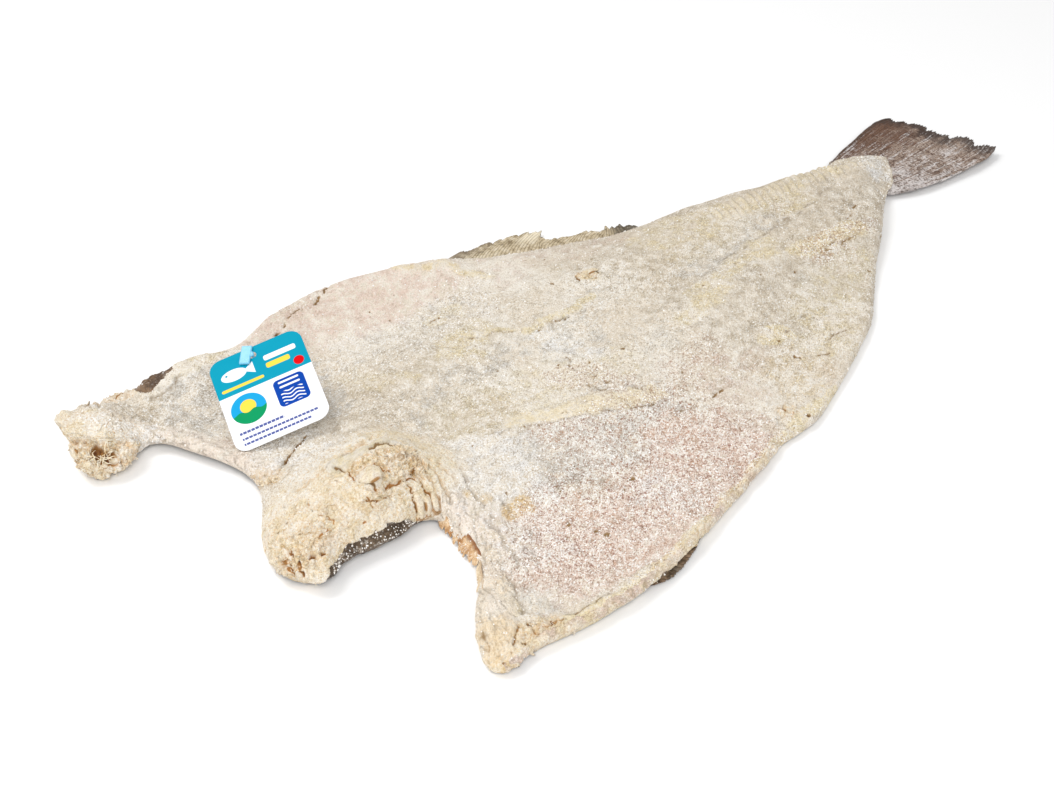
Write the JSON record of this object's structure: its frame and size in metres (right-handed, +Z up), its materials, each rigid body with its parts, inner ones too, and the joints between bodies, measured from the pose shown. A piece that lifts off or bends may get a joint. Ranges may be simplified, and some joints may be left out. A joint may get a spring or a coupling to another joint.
{
  "type": "salted dried cod",
  "caption": "Whole cod split open, salted and dried flat, flesh side up, with its tail, belly flaps and neck stub, and a blank-design card label held by a plastic pin.",
  "frame": {"origin": "on the surface that the fish lies on, under the middle of the object's box", "axes": "+X from the neck to the tail, +Y to the fish's left flap, +Z up, on the flesh side"},
  "size_m": [0.642, 0.314, 0.0408],
  "materials": {
    "flesh": "dry cream flesh with a crust of salt, matte and grainy",
    "skin": "dark grey-brown dried skin and fins with white salt, matte",
    "card": "coated white card, printed turquoise and blue, satin",
    "pin_plastic": "pale blue translucent plastic, smooth"
  },
  "bodies": {
    "root": {"salted_cod": "flesh", "label": "card", "label_pin": "pin_plastic"}
  },
  "joints": []
}
